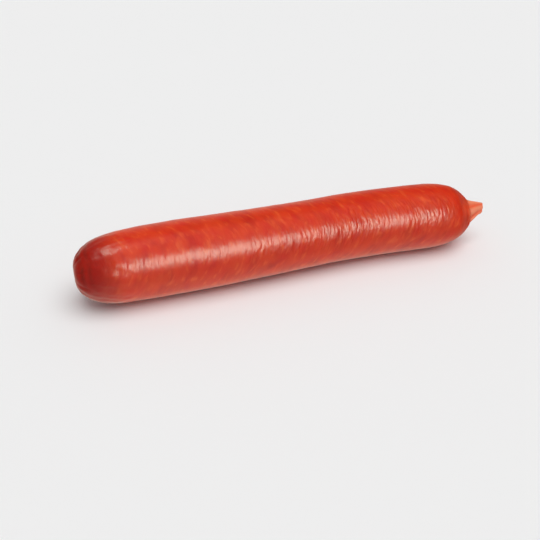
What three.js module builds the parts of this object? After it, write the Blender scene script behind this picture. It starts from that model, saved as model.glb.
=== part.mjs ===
// A cured sausage in a natural casing, lying on its side.
// +X runs from the blunt closed end to the gathered tail, +Z is up, and the origin is on the surface
// that the sausage lies on, under the middle of its length. All lengths are in millimetres.
import * as THREE from "three";

// Driving dimensions. A distance is measured along the length, from the closed end.
const LENGTH = 237.5;
const BODY_RADIUS = 19;
const AXIS_HEIGHT = 18.4; // less than the radius, because the soft body flattens where it lies

const CAP_DISTANCE = 24; // where the rounded closed end meets the long body
const CAP_RADIUS = BODY_RADIUS - 0.65;
const PUCKER_RADIUS = 3; // the small dimple that closes the end
const PUCKER_DEPTH = 1.2;

const COLLAR_DISTANCE = 226.7; // where the filling stops and the empty casing goes on
const COLLAR_RADIUS = 6.1;
const TAIL_TIP_RADIUS = 2.5;
const TAIL_TIP_LENGTH = 1; // the last stretch, which rounds the tail off
const TAIL_THINNING = 0.5; // the share of its thickness that the flattened tail loses
const TAIL_TURN = THREE.MathUtils.degToRad(-32); // which way the tail's thin side looks
const TAIL_LIFT = 0.5; // how far the tail leans up along its broad side

// Places along the long body, as distance and radius.
const BODY_STATIONS = [
  [50, BODY_RADIUS + 0.4],
  [90, BODY_RADIUS + 0.1],
  [130, BODY_RADIUS - 0.3],
  [165, BODY_RADIUS - 0.1],
  [196, BODY_RADIUS - 0.05],
];

// How far the middle line strays to the side, at even steps from one end to the other.
const SIDE_SHIFTS = [0, 1.6, 2.2, 3.7, 5.2, 3, 0];

const FOLDS = 7; // folds of casing that run into each end
const PUCKER_FOLD_DEPTH = 0.06; // as a share of the radius
const TAIL_FOLD_DEPTH = 0.1;

const SEGMENTS = 36;
const STEPS_PER_CURVE = 7;
const STEPS_PER_STATION = 3;

// Half of the lengthwise outline, from the closed end to the tip, as x = radius and y = distance.
function makeOutline() {
  const [shoulderDistance, shoulderRadius] = BODY_STATIONS.at(-1);
  const tipDistance = LENGTH - TAIL_TIP_LENGTH;
  const stations = BODY_STATIONS.map(([distance, radius]) => new THREE.Vector2(radius, distance));
  return new THREE.Path()
    .moveTo(0, PUCKER_DEPTH)
    .quadraticCurveTo(PUCKER_RADIUS / 2, 0, PUCKER_RADIUS, 0)
    .bezierCurveTo(CAP_RADIUS * 0.52, 0, CAP_RADIUS * 0.9, CAP_DISTANCE * 0.29, CAP_RADIUS, CAP_DISTANCE)
    .splineThru(stations)
    .bezierCurveTo(
      shoulderRadius,
      shoulderDistance + 3,
      shoulderRadius,
      COLLAR_DISTANCE - 7.3,
      COLLAR_RADIUS,
      COLLAR_DISTANCE,
    )
    .bezierCurveTo(
      COLLAR_RADIUS - 0.3,
      COLLAR_DISTANCE + 2.5,
      TAIL_TIP_RADIUS + 0.9,
      tipDistance - 3,
      TAIL_TIP_RADIUS,
      tipDistance,
    )
    .quadraticCurveTo(TAIL_TIP_RADIUS * 0.9, LENGTH, 0, LENGTH);
}

// Points along the outline, as many on each curve as its length needs.
function outlinePoints() {
  const points = makeOutline().curves.flatMap((curve) => {
    const steps = curve.isSplineCurve ? BODY_STATIONS.length * STEPS_PER_STATION : STEPS_PER_CURVE;
    return curve.getPoints(steps).slice(0, -1);
  });
  return [...points, new THREE.Vector2(0, LENGTH)];
}

const middleLine = new THREE.SplineCurve(
  SIDE_SHIFTS.map((shift, i) => {
    const distance = (LENGTH * i) / (SIDE_SHIFTS.length - 1);
    return new THREE.Vector2(distance, shift);
  }),
);

// Moves a point of the straight turned body, whose length is along Y, to its place on the sausage.
function settle(turned) {
  const distance = turned.y;
  const around = Math.atan2(turned.x, turned.z);
  const pucker = 1 - THREE.MathUtils.smoothstep(distance, 0, 5);
  const tail = THREE.MathUtils.smoothstep(distance, COLLAR_DISTANCE - 15, COLLAR_DISTANCE);
  const lean = THREE.MathUtils.smoothstep(distance, COLLAR_DISTANCE - 3, COLLAR_DISTANCE + 5);

  const folds = (PUCKER_FOLD_DEPTH * pucker + TAIL_FOLD_DEPTH * tail) * Math.cos(FOLDS * around);
  const radius = Math.hypot(turned.x, turned.z) * (1 + folds);
  const broad = radius * Math.sin(around - TAIL_TURN) + TAIL_LIFT * lean;
  const thin = radius * Math.cos(around - TAIL_TURN) * (1 - TAIL_THINNING * tail);

  const side = thin * Math.cos(TAIL_TURN) - broad * Math.sin(TAIL_TURN);
  const rise = thin * Math.sin(TAIL_TURN) + broad * Math.cos(TAIL_TURN);
  const shift = middleLine.getPoint(distance / LENGTH).y;
  return new THREE.Vector3(distance, shift + side, Math.max(AXIS_HEIGHT + rise, 0));
}

// The whole sausage as one closed skin, with the origin under the middle of its box.
function makeSausageGeometry() {
  const geometry = new THREE.LatheGeometry(outlinePoints(), SEGMENTS);
  const position = geometry.getAttribute("position");
  const point = new THREE.Vector3();
  for (let i = 0; i < position.count; i++) {
    const settled = settle(point.fromBufferAttribute(position, i));
    position.setXYZ(i, settled.x, settled.y, settled.z);
  }
  geometry.computeBoundingBox();
  const middle = geometry.boundingBox.getCenter(new THREE.Vector3());
  geometry.translate(-middle.x, -middle.y, 0);
  geometry.computeVertexNormals();
  return geometry;
}

const casing = new THREE.MeshStandardMaterial({ color: 0xd53a1f, roughness: 0.35, metalness: 0 });
const sausage = new THREE.Mesh(makeSausageGeometry(), casing);
sausage.name = "sausage";

const part = new THREE.Group();
part.add(sausage);

export default part;
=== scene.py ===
import math
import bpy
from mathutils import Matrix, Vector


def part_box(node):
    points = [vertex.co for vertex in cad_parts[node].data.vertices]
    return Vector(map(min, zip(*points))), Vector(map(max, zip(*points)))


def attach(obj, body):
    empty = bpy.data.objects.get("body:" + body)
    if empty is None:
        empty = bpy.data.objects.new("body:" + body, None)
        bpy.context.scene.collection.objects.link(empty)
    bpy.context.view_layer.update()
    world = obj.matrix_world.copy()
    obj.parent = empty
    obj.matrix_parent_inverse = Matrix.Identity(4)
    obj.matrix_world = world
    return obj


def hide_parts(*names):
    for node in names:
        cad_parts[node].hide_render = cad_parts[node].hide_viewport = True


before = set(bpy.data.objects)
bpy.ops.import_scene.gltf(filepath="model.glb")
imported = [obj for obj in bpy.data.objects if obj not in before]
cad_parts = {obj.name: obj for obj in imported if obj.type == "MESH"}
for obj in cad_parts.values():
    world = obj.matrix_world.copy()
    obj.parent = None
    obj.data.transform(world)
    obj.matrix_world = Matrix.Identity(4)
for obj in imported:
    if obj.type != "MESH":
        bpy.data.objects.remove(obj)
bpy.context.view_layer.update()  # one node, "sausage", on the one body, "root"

from types import SimpleNamespace

import bpy
from bpy.props import FloatProperty, FloatVectorProperty, IntProperty, PointerProperty
from mathutils import Vector

bl_info = {
    "name": "Cured Sausage",
    "version": (1, 0, 0),
    "blender": (4, 5, 0),
    "location": "3D View > Sidebar > Sausage",
    "description": "Makes a cured sausage in a wrinkled natural casing, and the stage it is shown on",
    "category": "Add Mesh",
}

MM = 0.001
LOW, HIGH = (Vector(corner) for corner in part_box("sausage"))
LENGTH = HIGH.x - LOW.x

# How the middle line strays to the side, at even steps from the closed end to the tail.
SIDE_SHIFTS = [0, 1.6 * MM, 2.2 * MM, 3.7 * MM, 5.2 * MM, 3 * MM, 0]
BOW_MIDDLE = 3.18 * MM  # how far the middle of the bowed body's box lies from the line between its ends

# Places along the long body: a distance from the closed end, and how much fuller the body is there.
BODY_STATIONS = [(50 * MM, 0.4 * MM), (90 * MM, 0.1 * MM), (130 * MM, -0.3 * MM), (165 * MM, -0.1 * MM)]
SHOULDER_DISTANCE = 196 * MM

# Depths of what is pressed into the skin.
DOME_CREASE_DEPTH = 0.9 * MM
RING_DEPTH = 0.28 * MM
COLLAR_CREASE_DEPTH = 0.35 * MM

EXTRA_POLE_FOLDS = 4  # how many more folds the closed end has than the tail
POLE_FOLD_SHARE = 0.3  # how deep they are beside the tail's
TAIL_TWIST = 60  # how fast the phase of the tail's folds changes along it, in radians a metre
TIP_RAGGEDNESS = 0.2 * MM


# ---------------------------------------------------------------------------------------------
# What a user can change
# ---------------------------------------------------------------------------------------------


def distance_property(name, description, default):
    """A length in metres, shown in the user's own unit."""
    return FloatProperty(
        name=name, description=description, default=default, precision=5, unit="LENGTH", subtype="DISTANCE"
    )


def share_property(name, description, default):
    """A share between 0 and 1."""
    return FloatProperty(
        name=name, description=description, default=default, min=0, max=1, subtype="FACTOR"
    )


def colour_property(name, description, default):
    """A linear colour."""
    return FloatVectorProperty(
        name=name, description=description, default=default, size=3, min=0, max=1, subtype="COLOR"
    )


class SausageSizes(bpy.types.PropertyGroup):
    """Sizes of the sausage's skin."""

    axis_height: distance_property("Axis height", "Height of the middle line over the surface", 18.4 * MM)
    radius: distance_property("Body radius", "Radius of the stuffed body", 19 * MM)
    cap: distance_property("Cap", "Length of the rounded closed end", 24 * MM)
    pucker_radius: distance_property("Pucker radius", "Radius of the dimple that closes the end", 3 * MM)
    pucker_depth: distance_property("Pucker depth", "Depth of that dimple", 1.6 * MM)
    tail: distance_property("Tail", "Length of the empty casing", LENGTH - 226.7 * MM)
    collar_radius: distance_property("Collar radius", "Radius where the tail leaves the body", 8.2 * MM)
    tip_radius: distance_property("Tip radius", "Radius of the tail's end", 3.4 * MM)
    tail_turn: FloatProperty(
        name="Tail turn",
        description="Which way the tail's thin side looks, up from the horizontal",
        default=math.radians(-32),
        subtype="ANGLE",
        unit="ROTATION",
    )
    tail_thinning: share_property("Tail thinning", "How much of its thickness the tail loses", 0.5)
    tail_lift: distance_property("Tail lift", "How far the tail leans up along its broad side", 0.5 * MM)
    tail_slant: distance_property("Tail slant", "How much shorter the tail is at its lower edge", 1.6 * MM)
    folds: IntProperty(name="Folds", description="Folds that run into each end", default=7, min=3)
    fold_depth: share_property("Fold depth", "Depth of those folds, as a share of the radius", 0.25)
    lumps: distance_property("Lumps", "Depth of the body's soft unevenness", 0.5 * MM)
    wrinkles: distance_property("Wrinkles", "Depth of the wrinkles that run round the body", 0.8 * MM)
    wrinkle_spacing: distance_property("Wrinkle spacing", "Distance between two wrinkles", 3.4 * MM)
    wrinkle_lean: distance_property("Wrinkle lean", "How far they trail behind at the sides", 8.5 * MM)
    rings: IntProperty(name="Rings", description="Rings of points along the skin", default=620, min=60)
    segments: IntProperty(name="Segments", description="Points in one ring", default=156, min=24)


class CasingLooks(bpy.types.PropertyGroup):
    """Colours and finish of the casing and of the meat that shows through it."""

    meat: colour_property("Meat", "Main red of the meat", (0.71, 0.013, 0.002))
    # Also used for the painted shade in the collar's crease.
    deep_meat_and_shade: colour_property("Deep meat and shade", "Darker red between the fat", (0.50, 0.006, 0.001))
    fat: colour_property("Fat", "Orange of the smeared fat", (0.82, 0.060, 0.004))
    pale_fat: colour_property("Pale fat", "Colour of the brightest smears", (0.95, 0.15, 0.03))
    # Partly deeper meat, partly painted shade on the end that faces away from the light.
    end_meat_and_shade: colour_property("End meat and shade", "Dark red of the closed end", (0.40, 0.006, 0.0015))
    # Painted shade: the end's rings are darkened in colour as well as pressed in shallowly.
    ring_crease_shade: colour_property("Ring crease shade", "Colour in the rings of the end", (0.22, 0.010, 0.004))
    # Painted shade: darker, redder colour in the creases between the tail's folds.
    tail_crease_shade: colour_property("Tail crease shade", "Colour between the tail's folds", (0.95, 0.13, 0.035))
    dry_casing: colour_property("Dry casing", "Colour of the empty casing", (1.0, 0.30, 0.15))
    roughness: share_property("Roughness", "Roughness of the moist casing", 0.31)


class StageSettings(bpy.types.PropertyGroup):
    """Floor, light and camera."""

    floor: colour_property("Floor", "Colour of the floor", (0.92, 0.92, 0.92))
    background: colour_property("Background", "Colour of the space round the floor", (0.84, 0.84, 0.84))
    key: FloatProperty(name="Key", description="Strength of the soft light from above", default=1.63, min=0)
    fill: FloatProperty(name="Fill", description="Strength of the light of the sky", default=1.36, min=0)
    sheen: share_property("Sheen", "How bright the sky is where the casing mirrors it", 0.03)
    floor_sheen: share_property("Floor sheen", "How bright the ground is where the casing mirrors it", 0.75)
    warmth: colour_property("Warmth", "Colour of the mirrored background", (1, 0.88, 0.74))
    glint: colour_property("Glint", "Colour of the mirrored lights", (0.72, 0.9, 0.76))
    lens: FloatProperty(name="Lens", description="Focal length in millimetres", default=44.93, min=1)


# ---------------------------------------------------------------------------------------------
# Node trees
# ---------------------------------------------------------------------------------------------


class Field:
    """A value that varies over the skin: one socket of a node tree. Arithmetic on it adds math nodes."""

    def __init__(self, tree, socket):
        self.tree = tree
        self.socket = socket

    def math(self, operation, *others):
        return calculate(self.tree, operation, self, *others)

    def __add__(self, other):
        return self.math("ADD", other)

    def __sub__(self, other):
        return self.math("SUBTRACT", other)

    def __mul__(self, other):
        return self.math("MULTIPLY", other)

    def __truediv__(self, other):
        return self.math("DIVIDE", other)

    def __rsub__(self, other):
        return calculate(self.tree, "SUBTRACT", other, self)

    __radd__ = __add__
    __rmul__ = __mul__


def plug(value, socket):
    """Links a field to a socket, or sets the socket to a plain value."""
    if isinstance(value, Field):
        value.tree.links.new(value.socket, socket)
    else:
        socket.default_value = value


def add(tree, kind, settings=None, **inputs):
    """A new node with its settings and its inputs, which are named as the node names them."""
    node = tree.nodes.new(kind)
    for name, value in (settings or {}).items():
        setattr(node, name, value)
    for name, value in inputs.items():
        plug(value, node.inputs[name.replace("_", " ")])
    return node


def output(node, name=0):
    """One output of a node, as a field."""
    return Field(node.id_data, node.outputs[name])


def calculate(tree, operation, *values):
    """A math node."""
    node = add(tree, "ShaderNodeMath", {"operation": operation})
    for value, socket in zip(values, node.inputs):
        plug(value, socket)
    return output(node)


def smooth(field, start, end, low=0, high=1):
    """Goes from low to high, with soft ends, while the field goes from start to end."""
    node = add(field.tree, "ShaderNodeMapRange", {"interpolation_type": "SMOOTHSTEP"})
    for name, value in zip(("From Min", "From Max", "To Min", "To Max"), (start, end, low, high)):
        plug(value, node.inputs[name])
    plug(field, node.inputs["Value"])
    return output(node)


def combine(x, y, z):
    """Three fields as one vector."""
    tree = next(value.tree for value in (x, y, z) if isinstance(value, Field))
    return output(add(tree, "ShaderNodeCombineXYZ", X=x, Y=y, Z=z))


def separate(vector):
    """A vector's three fields."""
    node = add(vector.tree, "ShaderNodeSeparateXYZ", Vector=vector)
    return [output(node, name) for name in "XYZ"]


def noise(vector, scale=1.0, detail=2.0, roughness=0.5, distortion=0.0):
    """Soft noise between 0 and 1, with its middle at 0.5."""
    node = add(
        vector.tree,
        "ShaderNodeTexNoise",
        Vector=vector,
        Scale=scale,
        Detail=detail,
        Roughness=roughness,
        Distortion=distortion,
    )
    return output(node, "Fac")


def new_tree(name, kind, inputs, outputs):
    """A node group whose sockets are given by name and kind. Returns the tree, its inputs as fields, and
    its output node."""
    tree = bpy.data.node_groups.new(name, kind)
    for in_out, sockets in (("INPUT", inputs), ("OUTPUT", outputs)):
        for socket, socket_type in sockets.items():
            tree.interface.new_socket(socket, in_out=in_out, socket_type=socket_type)
    entry = tree.nodes.new("NodeGroupInput")
    exit_node = tree.nodes.new("NodeGroupOutput")
    return tree, {socket: output(entry, socket) for socket in inputs}, exit_node


# ---------------------------------------------------------------------------------------------
# The skin
# ---------------------------------------------------------------------------------------------


def outline_knots(sizes):
    """Half of the lengthwise outline: knots of (distance, radius), each with its left and right handle.
    A knot without handles is passed smoothly. The handles round the cap and the shoulder, and give the
    collar and the tip their bends."""
    r = sizes.radius
    cap = (sizes.cap, r - 0.2 * MM)
    collar = (LENGTH - sizes.tail, sizes.collar_radius)
    tip = (LENGTH - 0.2 * MM, sizes.tip_radius)
    shoulder = (SHOULDER_DISTANCE, r - 0.05 * MM)
    depth = sizes.pucker_depth
    rim = sizes.pucker_radius
    return [
        ((depth, 0), (depth, 0), (depth / 3, rim / 3)),
        ((0, rim), (0, rim * 2 / 3), (0, cap[1] * 0.56)),
        (cap, (cap[0] * 0.27, cap[1] * 0.94), (cap[0] + 4.3 * MM, cap[1] + 0.1 * MM)),
        *(((distance, r + fuller), None, None) for distance, fuller in BODY_STATIONS),
        (shoulder, (shoulder[0] - 6 * MM, shoulder[1]), (shoulder[0] + 12 * MM, shoulder[1])),
        (collar, (collar[0] - 7 * MM, collar[1] + 9 * MM), (collar[0] + 2.2 * MM, collar[1] - 2.1 * MM)),
        (tip, (tip[0] - 3 * MM, tip[1] + 0.7 * MM), (LENGTH + 0.1 * MM, tip[1] - 0.5 * MM)),
        ((LENGTH - 1.8 * MM, 0), (LENGTH - 0.6 * MM, 0.8 * MM), (LENGTH - 1.8 * MM, 0)),
    ]


def make_curve(name, knots):
    """A flat Bezier curve through the knots, as an object for the skin's node tree to read."""
    curve = bpy.data.curves.new(name, "CURVE")
    curve.dimensions = "3D"
    curve.resolution_u = 48
    spline = curve.splines.new("BEZIER")
    spline.bezier_points.add(len(knots) - 1)
    for point, (place, left, right) in zip(spline.bezier_points, knots):
        point.co = (*place, 0)
        if left is None:
            point.handle_left_type = point.handle_right_type = "AUTO"
            continue
        point.handle_left_type = point.handle_right_type = "FREE"
        point.handle_left = (*left, 0)
        point.handle_right = (*right, 0)
    made = bpy.data.objects.new(name, curve)
    bpy.context.scene.collection.objects.link(made)
    return made


def middle_knots():
    """The middle line seen from above, at even steps along the length."""
    step = LENGTH / (len(SIDE_SHIFTS) - 1)
    return [((i * step, shift), None, None) for i, shift in enumerate(SIDE_SHIFTS)]


def along_curve(curve, factor):
    """The x and y of a point on a curve object, at a share of its length."""
    info = add(curve.tree, "GeometryNodeObjectInfo", Object=curve)
    sample = add(curve.tree, "GeometryNodeSampleCurve", {"mode": "FACTOR"}, Factor=factor)
    plug(output(info, "Geometry"), sample.inputs["Curves"])
    return separate(output(sample, "Position"))[:2]


def crease(field, middle, width):
    """1 at the middle, falling away to both sides within the width."""
    return smooth((field - middle).math("ABSOLUTE"), 0, width, low=1, high=0)


def pleats(around, count, twist):
    """Rounded folds with sharp creases between them: 0 on the folds and -1 in the creases."""
    wave = (around * (count * 0.5) + twist).math("SINE").math("ABSOLUTE")
    return wave.math("POWER", 0.6) - 1


def hollow(noise_field, level):
    """What a noise lies below a level, as a value of 0 or less."""
    return (noise_field - level).math("MINIMUM", 0.0)


def skin_point(tree, given):
    """Where a point of the flat grid goes on the straight, round body, as fields."""
    across, turn, _ = separate(output(add(tree, "GeometryNodeInputPosition")))
    distance, outline_radius = along_curve(given["Outline"], across + 0.5)
    around = (turn + 0.5) * (-2 * math.pi)
    sine = around.math("SINE")
    cosine = around.math("COSINE")

    # -1 and 1 on the tail's two broad edges, and 0 in the middle of its flat sides.
    broad = (around - given["Tail Turn"]).math("SINE")
    return SimpleNamespace(
        distance=distance,
        to_collar=distance - (given["Length"] - given["Tail"]),
        outline_radius=outline_radius,
        around=around,
        sine=sine,
        cosine=cosine,
        side=outline_radius * cosine,
        rise=outline_radius * sine,
        broad=broad,
        # Wrinkles run along equal grain, so they trail behind towards the broad edges.
        grain=distance + given["Wrinkle Lean"] * broad * broad,
    )


def end_folds(given, point):
    """The folds that run into both ends, as shares of the radius, and the tail's pleats on their own."""
    uneven = noise(combine(point.sine, point.cosine, 0.0), scale=1.4, detail=1) * 3
    near_pole = smooth(point.distance, 0, 9 * MM, low=1, high=0)
    gathered = smooth(point.to_collar, -5 * MM, 1.5 * MM)
    pole_pleats = pleats(point.around, given["Folds"] + EXTRA_POLE_FOLDS, uneven) * near_pole
    twist = uneven + point.to_collar * TAIL_TWIST
    tail_pleats = pleats(point.around, given["Folds"], twist) * gathered
    return (pole_pleats * POLE_FOLD_SHARE + tail_pleats) * given["Fold Depth"], tail_pleats


def body_wrinkles(given, point):
    """The body's wrinkles, as values of 0 or less, and how strong they are from place to place."""
    patches = noise(combine(point.grain, point.side, point.rise), scale=45, detail=1)
    strength = smooth(patches, 0.35, 0.65, low=0.45, high=1)
    strength = strength * smooth(point.broad * point.broad, 0.04, 0.4, low=1, high=0.3)
    strength = strength * smooth(point.distance, 30 * MM, 120 * MM, low=0.3, high=1)
    spacing = given["Wrinkle Spacing"]
    length = spacing * 3
    place = combine(point.grain / spacing, point.side / length, point.rise / length)
    wrinkles = hollow(noise(place, scale=2.0, detail=2.5, roughness=0.55, distortion=0.15), level=0.7)
    return wrinkles * strength, strength


def dome_creases(point):
    """Creases that run lengthwise over the closed end's dome, as values of 0 or less."""
    on_dome = smooth(point.distance, 4 * MM, 9 * MM)
    on_dome = on_dome * smooth(point.distance, 20 * MM, 34 * MM, low=1, high=0)
    place = combine(point.sine, point.cosine, point.distance * 25)
    return hollow(noise(place, scale=5, detail=1.5), level=0.65) * on_dome


def end_rings(point):
    """Two broken, wandering rings round the closed end, as a mask."""
    wander = noise(combine(point.sine, point.cosine, point.distance), scale=1.3, detail=1)
    place = point.distance + 4 * MM * (wander - 0.5)
    inner = crease(place, middle=4 * MM, width=1.6 * MM)
    outer = crease(place, middle=7.6 * MM, width=1.8 * MM)
    gaps = noise(combine(point.cosine, point.sine, point.distance * 20), scale=1.5, detail=1)
    return (inner + outer * 0.7) * smooth(gaps, 0.4, 0.55, low=0.3, high=1)


def skin_radius(given, point, folds, wrinkles, ring):
    """The radius of the folded and wrinkled skin. The pole and the tip stay points."""
    lumps = hollow(noise(combine(point.distance, point.side, point.rise), scale=60, detail=2), level=0.72)
    in_tail = smooth(point.to_collar, -0.8 * MM, 1.2 * MM)
    inset = given["Lumps"] * lumps + given["Wrinkles"] * wrinkles * (1 - in_tail)
    inset = inset + DOME_CREASE_DEPTH * dome_creases(point)
    inset = inset - RING_DEPTH * ring
    inset = inset - COLLAR_CREASE_DEPTH * crease(point.to_collar, middle=0, width=1.3 * MM)
    fullness = smooth(point.outline_radius, 0, 6 * MM)
    return point.outline_radius * (1 + folds) + inset * fullness


def settle(given, point, radius):
    """The place of a point of the skin: round the bowed middle line, with the tail flattened, leaned up
    and cut at a slant, and never under the surface that the sausage lies on."""
    _, shift = along_curve(given["Middle Line"], point.distance / given["Length"])
    lean = smooth(point.to_collar, 0, 9 * MM, low=0, high=1.9)
    lean = lean - smooth(point.to_collar, -4 * MM, 0, low=0, high=0.4)
    broad_place = radius * point.broad + given["Tail Lift"] * lean
    thinned = 1 - given["Tail Thinning"] * smooth(point.to_collar, -15 * MM, 0)
    thin_place = radius * (point.around - given["Tail Turn"]).math("COSINE") * thinned
    turn_sine = given["Tail Turn"].math("SINE")
    turn_cosine = given["Tail Turn"].math("COSINE")
    y = shift + thin_place * turn_cosine - broad_place * turn_sine
    z = given["Axis Height"] + thin_place * turn_sine + broad_place * turn_cosine

    at_tip = smooth(point.to_collar, 4 * MM, given["Tail"])
    slant = given["Tail Slant"] * (0.5 - 0.5 * point.broad)
    ragged = noise(combine(point.sine, point.cosine, 0.0), scale=2.5, detail=1) * TIP_RAGGEDNESS
    x = point.distance - (slant + ragged) * at_tip
    start_x, start_y, _ = separate(given["Start"])
    return combine(x + start_x, y + start_y, z.math("MAXIMUM", 0.0))


def skin_tree():
    """The geometry node tree that lofts the skin along the middle line, folds its ends and wrinkles it."""
    inputs = {
        "Skin": "NodeSocketGeometry",
        "Outline": "NodeSocketObject",
        "Middle Line": "NodeSocketObject",
        "Rings": "NodeSocketInt",
        "Segments": "NodeSocketInt",
        "Start": "NodeSocketVector",
        "Length": "NodeSocketFloat",
        "Axis Height": "NodeSocketFloat",
        "Tail": "NodeSocketFloat",
        "Tail Turn": "NodeSocketFloat",
        "Tail Thinning": "NodeSocketFloat",
        "Tail Lift": "NodeSocketFloat",
        "Tail Slant": "NodeSocketFloat",
        "Folds": "NodeSocketInt",
        "Fold Depth": "NodeSocketFloat",
        "Lumps": "NodeSocketFloat",
        "Wrinkles": "NodeSocketFloat",
        "Wrinkle Spacing": "NodeSocketFloat",
        "Wrinkle Lean": "NodeSocketFloat",
        "Casing": "NodeSocketMaterial",
    }
    outputs = {"Skin": "NodeSocketGeometry"}
    tree, given, result = new_tree("Sausage skin", "GeometryNodeTree", inputs, outputs)
    vertices = {"Vertices_X": given["Rings"], "Vertices_Y": given["Segments"] + 1}
    grid = add(tree, "GeometryNodeMeshGrid", Size_X=1.0, Size_Y=1.0, **vertices)

    point = skin_point(tree, given)
    folds, tail_pleats = end_folds(given, point)
    wrinkles, wrinkling = body_wrinkles(given, point)
    ring = end_rings(point)
    radius = skin_radius(given, point, folds, wrinkles, ring)

    # The flat grid keeps what the material reads, before its points move to their places.
    stored = {
        "grain": ("FLOAT_VECTOR", combine(point.grain, point.side, point.rise)),
        "dryness": ("FLOAT", smooth(point.to_collar, -2.4 * MM, 1.6 * MM)),
        # Where the closed end is darkened, by deeper meat and painted shade.
        "closed_end": ("FLOAT", smooth(point.distance, 9 * MM, 27 * MM, low=1, high=0)),
        "pleat": ("FLOAT", tail_pleats + 1),
        "ring": ("FLOAT", ring),
        "wrinkling": ("FLOAT", wrinkling),
    }
    geometry = output(grid, "Mesh")
    for name, (data_type, field) in stored.items():
        keep = add(
            tree,
            "GeometryNodeStoreNamedAttribute",
            {"data_type": data_type, "domain": "POINT"},
            Geometry=geometry,
            Name=name,
            Value=field,
        )
        geometry = output(keep, "Geometry")

    for kind, values in (
        ("GeometryNodeSetPosition", {"Position": settle(given, point, radius)}),
        ("GeometryNodeMergeByDistance", {"Distance": 0.001 * MM}),
        ("GeometryNodeSetShadeSmooth", {}),
        ("GeometryNodeRealizeInstances", {}),
        ("GeometryNodeSetMaterial", {"Material": given["Casing"]}),
    ):
        geometry = output(add(tree, kind, Geometry=geometry, **values), "Geometry")
    plug(geometry, result.inputs["Skin"])
    return tree


def set_inputs(modifier, values):
    """Sets a node modifier's inputs, by the name that the tree gives each socket."""
    identifiers = {
        item.name: item.identifier
        for item in modifier.node_group.interface.items_tree
        if item.item_type == "SOCKET" and item.in_out == "INPUT"
    }
    for name, value in values.items():
        modifier[identifiers[name]] = value


def make_skin(sizes, casing):
    """The sausage as one closed, plain mesh, at its place in the frame."""
    outline = make_curve("outline", outline_knots(sizes))
    middle_line = make_curve("middle_line", middle_knots())
    seed_mesh = bpy.data.meshes.new("skin_seed")
    source = bpy.data.objects.new("skin_source", seed_mesh)
    bpy.context.scene.collection.objects.link(source)

    modifier = source.modifiers.new("Skin", "NODES")
    modifier.node_group = skin_tree()
    set_inputs(
        modifier,
        {
            "Outline": outline,
            "Middle Line": middle_line,
            "Rings": sizes.rings,
            "Segments": sizes.segments,
            "Start": (LOW.x, (LOW.y + HIGH.y) / 2 - BOW_MIDDLE, 0.0),
            "Length": LENGTH,
            "Axis Height": sizes.axis_height,
            "Tail": sizes.tail,
            "Tail Turn": sizes.tail_turn,
            "Tail Thinning": sizes.tail_thinning,
            "Tail Lift": sizes.tail_lift,
            "Tail Slant": sizes.tail_slant,
            "Folds": sizes.folds,
            "Fold Depth": sizes.fold_depth,
            "Lumps": sizes.lumps,
            "Wrinkles": sizes.wrinkles,
            "Wrinkle Spacing": sizes.wrinkle_spacing,
            "Wrinkle Lean": sizes.wrinkle_lean,
            "Casing": casing,
        },
    )
    depsgraph = bpy.context.evaluated_depsgraph_get()
    mesh = bpy.data.meshes.new_from_object(
        source.evaluated_get(depsgraph), preserve_all_data_layers=True, depsgraph=depsgraph
    )
    mesh.name = "sausage_skin"
    for helper in (source, outline, middle_line):
        bpy.data.objects.remove(helper)
    skin = bpy.data.objects.new("sausage_skin", mesh)
    bpy.context.scene.collection.objects.link(skin)
    return skin


# ---------------------------------------------------------------------------------------------
# The finish
# ---------------------------------------------------------------------------------------------


def smear_group():
    """A shader group: soft smears that run with the wrinkles. It puts out a mask."""
    inputs = {
        "Grain": "NodeSocketVector",
        "Width": "NodeSocketFloat",
        "Length": "NodeSocketFloat",
        "Cover": "NodeSocketFloat",
        "Softness": "NodeSocketFloat",
        "Detail": "NodeSocketFloat",
        "Offset": "NodeSocketFloat",
    }
    tree, given, result = new_tree("Smears", "ShaderNodeTree", inputs, {"Mask": "NodeSocketFloat"})
    along, side, rise = separate(given["Grain"])
    place = combine(
        along / given["Width"] + given["Offset"],
        side / given["Length"],
        rise / given["Length"],
    )
    threshold = 0.7 - 0.4 * given["Cover"]
    cloud = noise(place, detail=given["Detail"], roughness=0.55, distortion=0.3)
    mask = smooth(cloud, threshold - given["Softness"], threshold + given["Softness"])
    plug(mask, result.inputs["Mask"])
    return tree


def mix(factor, first, second):
    """Mixes two colours by a field."""
    node = add(factor.tree, "ShaderNodeMix", {"data_type": "RGBA"})
    for name, value in zip(("Factor_Float", "A_Color", "B_Color"), (factor, first, second)):
        socket = next(each for each in node.inputs if each.identifier == name)
        plug(value if isinstance(value, Field) else (*value, 1.0), socket)
    made = next(each for each in node.outputs if each.identifier == "Result_Color")
    return Field(factor.tree, made)


def attribute(tree, name, kind="Fac"):
    """An attribute that the skin's node tree stored."""
    node = add(tree, "ShaderNodeAttribute", {"attribute_name": name, "attribute_type": "GEOMETRY"})
    return output(node, kind)


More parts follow.
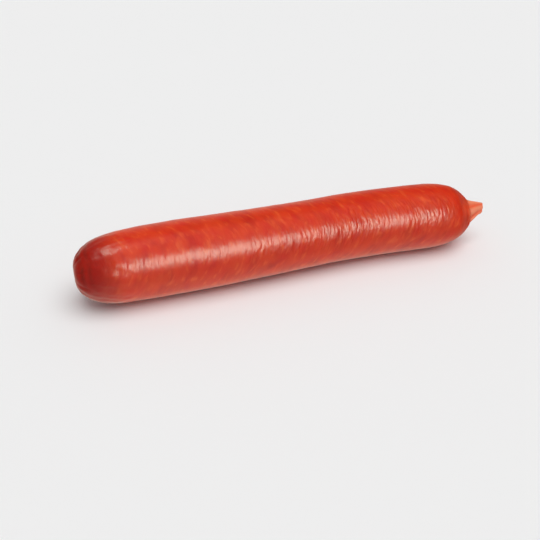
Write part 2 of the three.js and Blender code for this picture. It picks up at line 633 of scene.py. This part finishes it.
def casing_colour(tree, looks, grain, dryness):
    """Red meat with darker meat and smears of fat, a closed end that is dark partly from deeper meat and
    partly from painted shade, painted shade in the end's rings, between the tail's folds and in the
    collar's crease, and a pale, dry tail.
    """
    group = {"node_tree": smear_group()}

    def smear(**values):
        return output(add(tree, "ShaderNodeGroup", group, Grain=grain, **values), "Mask")

    patches = smear(Width=14 * MM, Length=14 * MM, Cover=0.5, Softness=0.2, Detail=2.0, Offset=3.0)
    broad_fat = smear(Width=8 * MM, Length=12 * MM, Cover=0.45, Softness=0.16, Detail=1.0, Offset=7.0)
    streaks = smear(Width=3.6 * MM, Length=8 * MM, Cover=0.42, Softness=0.22, Detail=1.0, Offset=11.0)
    dashes = smear(Width=2.6 * MM, Length=6 * MM, Cover=0.14, Softness=0.14, Detail=1.0, Offset=23.0)
    dark = smear(Width=8 * MM, Length=12 * MM, Cover=0.42, Softness=0.16, Detail=1.0, Offset=31.0)

    colour = looks.meat
    for mask, strength, tint in (
        (dark, 0.6, looks.deep_meat_and_shade),
        (patches, 0.35, looks.fat),
        (broad_fat, 0.5, looks.fat),
        (streaks, 0.42, looks.fat),
        (dashes, 0.45, looks.pale_fat),
        # Closed end darkened: deeper meat and painted shade.
        (attribute(tree, "closed_end"), 0.92, looks.end_meat_and_shade),
        # Painted shade in the end's rings.
        (attribute(tree, "ring"), 0.6, looks.ring_crease_shade),
    ):
        colour = mix(mask * strength, colour, tint)

    # Painted shade between the tail's folds; the fold tops keep the dry casing's colour.
    on_fold = smooth(attribute(tree, "pleat"), 0.3, 1)
    tail_colour = mix(on_fold, looks.tail_crease_shade, looks.dry_casing)
    colour = mix(dryness * 0.9, colour, tail_colour)
    # Painted shade: a darker band in the collar's crease, where the tail leaves the body.
    collar_shade = crease(dryness, middle=0.55, width=0.4)
    return mix(collar_shade * 0.45, colour, looks.deep_meat_and_shade)


def casing_material(looks):
    """Moist natural casing over red meat, with smeared fat, fine wrinkles and a dry tail."""
    material = bpy.data.materials.new("casing")
    material.use_nodes = True
    tree = material.node_tree
    shader = tree.nodes["Principled BSDF"]
    grain = attribute(tree, "grain", "Vector")
    dryness = attribute(tree, "dryness")
    colour = casing_colour(tree, looks, grain, dryness)
    plug(colour, shader.inputs["Base Color"])

    spots = noise(grain, scale=900, detail=2) - 0.5
    roughness = looks.roughness + 0.12 * spots + 0.2 * dryness
    plug(roughness, shader.inputs["Roughness"])

    along, side, rise = separate(grain)
    place = combine(along / (1.3 * MM), side / (5 * MM), rise / (5 * MM))
    fine_wrinkles = noise(place, detail=1.5) - 0.5
    height = fine_wrinkles * attribute(tree, "wrinkling")
    bump = add(tree, "ShaderNodeBump", Height=height, Strength=0.8, Distance=0.48 * MM)
    plug(output(bump), shader.inputs["Normal"])

    values = {
        "Subsurface Weight": 0.22,
        "Subsurface Radius": (1.0, 0.22, 0.10),
        "Subsurface Scale": 3 * MM,
        "IOR": 1.5,
        "Specular IOR Level": 0.75,
    }
    for name, value in values.items():
        shader.inputs[name].default_value = value
    return material


# ---------------------------------------------------------------------------------------------
# The stage
# ---------------------------------------------------------------------------------------------


def make_floor(settings):
    """A plain pale disc, larger than any view of the sausage, which the casing doesn't mirror."""
    mesh = bpy.data.meshes.new("floor")
    radius = 4
    turns = [math.radians(turn) for turn in range(0, 360, 5)]
    points = [(radius * math.cos(turn), radius * math.sin(turn), 0) for turn in turns]
    mesh.from_pydata(points, [], [range(len(points))])
    floor = bpy.data.objects.new("floor", mesh)
    material = bpy.data.materials.new("floor")
    material.use_nodes = True
    shader = material.node_tree.nodes["Principled BSDF"]
    shader.inputs["Base Color"].default_value = (*settings.floor, 1)
    shader.inputs["Roughness"].default_value = 0.9
    shader.inputs["Specular IOR Level"].default_value = 0.0
    mesh.materials.append(material)
    floor.visible_glossy = False
    bpy.context.scene.collection.objects.link(floor)


def make_light(name, kind, place, target, strength):
    """A light at a place that looks at a target."""
    light = bpy.data.lights.new(name, kind)
    light.energy = strength
    made = bpy.data.objects.new(name, light)
    made.location = place
    made.rotation_euler = (Vector(place) - Vector(target)).to_track_quat("Z", "Y").to_euler()
    bpy.context.scene.collection.objects.link(made)
    return made


def make_sun(name, direction, softness, strength):
    """A wide, soft light that is the same everywhere and is never mirrored."""
    sun = make_light(name, "SUN", direction, (0, 0, 0), strength)
    sun.data.angle = softness
    sun.visible_glossy = False


def make_softbox(name, place, target, size, strength, colour):
    """A rectangular light for the casing to mirror. It adds nothing to the diffuse light."""
    softbox = make_light(name, "AREA", place, target, strength)
    softbox.data.shape = "RECTANGLE"
    softbox.data.size, softbox.data.size_y = size
    softbox.data.color = colour
    softbox.visible_diffuse = False


def make_lights(settings):
    """Two wide lights that light everything, and two softboxes for the glints on the casing."""
    make_sun("top_light", (0.35, -0.5, 2), math.radians(60), settings.key)
    make_sun("fill_light", (0, 0, 1), math.radians(165), settings.fill)
    middle = (0, 0, 20 * MM)
    by_closed_end = (-100 * MM, 0, 20 * MM)
    make_softbox("front_light", (0.21, -0.96, 0.46), middle, (0.6, 0.54), 7.8, settings.glint)
    make_softbox("end_light", (-0.3, -0.01, 0.88), by_closed_end, (0.18, 0.26), 1.35, settings.glint)


def make_camera(settings):
    """A camera that looks down on the sausage from the front, near its closed end."""
    camera = bpy.data.objects.new("camera", bpy.data.cameras.new("camera"))
    camera.data.lens = settings.lens
    camera.location = (LOW.x + 2.9 * MM, -306.4 * MM, 197.5 * MM)
    down = math.radians(31.53)
    right = math.radians(18.37)
    camera.rotation_euler = (math.pi / 2 - down, 0, -right)
    bpy.context.scene.collection.objects.link(camera)
    bpy.context.scene.camera = camera


def make_background(settings):
    """A plain pale world. What the casing mirrors of it is bright below and behind the sausage, and dim
    above, in front and past both ends."""
    world = bpy.data.worlds.new("background")
    world.use_nodes = True
    tree = world.node_tree
    shader = tree.nodes["Background"]
    path = add(tree, "ShaderNodeLightPath")
    seen = output(path, "Is Camera Ray")
    mirrored = output(path, "Is Glossy Ray")
    x, y, z = separate(output(add(tree, "ShaderNodeTexCoord"), "Generated"))
    past_ends = (x.math("ABSOLUTE") - 0.3).math("MAXIMUM", 0.0)
    dimness = z - 0.6 * y + 1.5 * past_ends
    sheen = smooth(dimness, -0.95, 0.6, low=settings.floor_sheen, high=settings.sheen)
    plug(mix(mirrored, settings.background, settings.warmth), shader.inputs["Color"])
    plug(seen + sheen * mirrored, shader.inputs["Strength"])
    bpy.context.scene.world = world


# ---------------------------------------------------------------------------------------------
# The add-on
# ---------------------------------------------------------------------------------------------


class SAUSAGE_OT_make_sausage(bpy.types.Operator):
    """Make the sausage: its wrinkled skin and the finish of its casing"""

    bl_idname = "sausage.make_sausage"
    bl_label = "Make Sausage"

    def execute(self, context):
        casing = casing_material(context.scene.casing_looks)
        skin = make_skin(context.scene.sausage_sizes, casing)
        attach(skin, "root")
        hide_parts("sausage")
        return {"FINISHED"}


class SAUSAGE_OT_make_stage(bpy.types.Operator):
    """Make the floor, the background, the lights and the camera"""

    bl_idname = "sausage.make_stage"
    bl_label = "Make Stage"

    def execute(self, context):
        settings = context.scene.stage_settings
        make_floor(settings)
        make_background(settings)
        make_lights(settings)
        make_camera(settings)
        context.scene.view_settings.view_transform = "Standard"
        return {"FINISHED"}


class SAUSAGE_PT_panel(bpy.types.Panel):
    """Lists the operators and what they use"""

    bl_idname = "SAUSAGE_PT_panel"
    bl_label = "Cured Sausage"
    bl_space_type = "VIEW_3D"
    bl_region_type = "UI"
    bl_category = "Sausage"

    def draw(self, context):
        scene = context.scene
        for settings, operator in (
            (scene.sausage_sizes, None),
            (scene.casing_looks, SAUSAGE_OT_make_sausage.bl_idname),
            (scene.stage_settings, SAUSAGE_OT_make_stage.bl_idname),
        ):
            column = self.layout.column()
            for name in settings.__annotations__:
                column.prop(settings, name)
            if operator:
                column.operator(operator)


SETTINGS = {
    "sausage_sizes": SausageSizes,
    "casing_looks": CasingLooks,
    "stage_settings": StageSettings,
}
CLASSES = (*SETTINGS.values(), SAUSAGE_OT_make_sausage, SAUSAGE_OT_make_stage, SAUSAGE_PT_panel)


def register():
    for each in CLASSES:
        bpy.utils.register_class(each)
    for name, group in SETTINGS.items():
        setattr(bpy.types.Scene, name, PointerProperty(type=group))


def unregister():
    for name in SETTINGS:
        delattr(bpy.types.Scene, name)
    for each in reversed(CLASSES):
        bpy.utils.unregister_class(each)


def main():
    """Makes everything."""
    register()
    bpy.ops.sausage.make_sausage()
    bpy.ops.sausage.make_stage()


if __name__ == "__main__":
    main()
